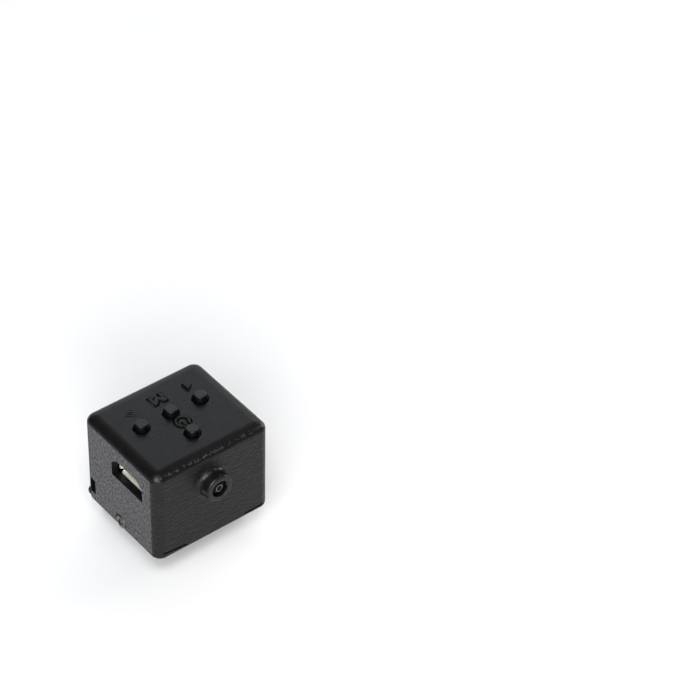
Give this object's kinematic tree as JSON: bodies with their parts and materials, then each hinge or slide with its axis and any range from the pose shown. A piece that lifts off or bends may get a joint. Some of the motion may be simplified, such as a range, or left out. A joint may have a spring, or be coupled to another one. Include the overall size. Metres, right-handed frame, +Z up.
{
  "type": "shoe mount light meter",
  "caption": "Small block-shaped exposure meter on an accessory shoe foot, with push buttons on top, a sensing barrel at the front and a screen at the rear.",
  "frame": {"origin": "centre of the underside of the accessory shoe foot", "axes": "+Z up through the top with the buttons, -Y to the front where the sensing barrel points, +Y to the user's side with the screen, -X to the side with the charging slot"},
  "size_m": [0.0234, 0.0228, 0.0231],
  "materials": {
    "casing_plastic": "layered printed nylon, satin",
    "foot_plastic": "smooth satin",
    "button_plastic": "fine satin",
    "screw_steel": "zinc plated",
    "switch_steel": "stamped sheet",
    "switch_plastic": "moulded",
    "tinned_steel": "tinned sheet",
    "gold_contact": "gold plated",
    "clear_lens": "polished",
    "chip_resin": "moulded resin",
    "circuit_board": "solder mask",
    "screen_pane": "polished",
    "screen_panel": "glossy black glass",
    "ribbon_film": "amber film",
    "connector_plastic": "moulded nylon",
    "battery_pouch": "laminated foil pouch",
    "foam_pad": "closed foam",
    "red_lead": "insulated wire",
    "black_lead": "insulated wire",
    "capacitor_ceramic": "ceramic"
  },
  "bodies": {
    "meter_body": {"shoe_foot": "foot_plastic", "foot_screw_front": "screw_steel", "foot_screw_rear": "screw_steel", "housing": "casing_plastic", "base_plate": "casing_plastic", "side_screw_left": "screw_steel", "side_screw_right": "screw_steel", "main_board": "circuit_board", "board_screw_front": "screw_steel", "board_screw_rear": "screw_steel", "switch_cover_left": "switch_steel", "switch_base_left": "switch_plastic", "snap_dome_left": "switch_steel", "switch_cover_menu": "switch_steel", "switch_base_menu": "switch_plastic", "snap_dome_menu": "switch_steel", "switch_cover_right": "switch_steel", "switch_base_right": "switch_plastic", "snap_dome_right": "switch_steel", "switch_cover_power": "switch_steel", "switch_base_power": "switch_plastic", "snap_dome_power": "switch_steel", "usb_shell": "tinned_steel", "usb_insert": "switch_plastic", "usb_contact_1": "gold_contact", "usb_contact_2": "gold_contact", "usb_contact_3": "gold_contact", "usb_contact_4": "gold_contact", "usb_contact_5": "gold_contact", "sensor_lens": "clear_lens", "light_sensor": "chip_resin", "sensor_board": "circuit_board", "display_window": "screen_pane", "display_panel": "screen_panel", "display_ribbon": "ribbon_film", "display_connector": "connector_plastic", "battery_cell": "battery_pouch", "battery_pad": "foam_pad", "battery_lead_red": "red_lead", "battery_lead_black": "black_lead", "battery_connector": "connector_plastic", "microcontroller": "chip_resin", "charger_chip": "chip_resin", "voltage_regulator": "chip_resin", "input_capacitor": "capacitor_ceramic", "output_capacitor": "capacitor_ceramic"},
    "left_button": {"button_left": "button_plastic"},
    "menu_button": {"button_menu": "button_plastic"},
    "right_button": {"button_right": "button_plastic"},
    "power_button": {"button_power": "button_plastic"}
  },
  "joints": [
    {"name": "left_button_press", "type": "slide", "parent": "meter_body", "child": "left_button", "axis": [0, 0, -1], "range_m": [0, 0.00025], "stiffness_N_per_m": 6000},
    {"name": "menu_button_press", "type": "slide", "parent": "meter_body", "child": "menu_button", "axis": [0, 0, -1], "range_m": [0, 0.00025], "stiffness_N_per_m": 6000},
    {"name": "right_button_press", "type": "slide", "parent": "meter_body", "child": "right_button", "axis": [0, 0, -1], "range_m": [0, 0.00025], "stiffness_N_per_m": 6000},
    {"name": "power_button_press", "type": "slide", "parent": "meter_body", "child": "power_button", "axis": [0, 0, -1], "range_m": [0, 0.00025], "stiffness_N_per_m": 6000}
  ]
}
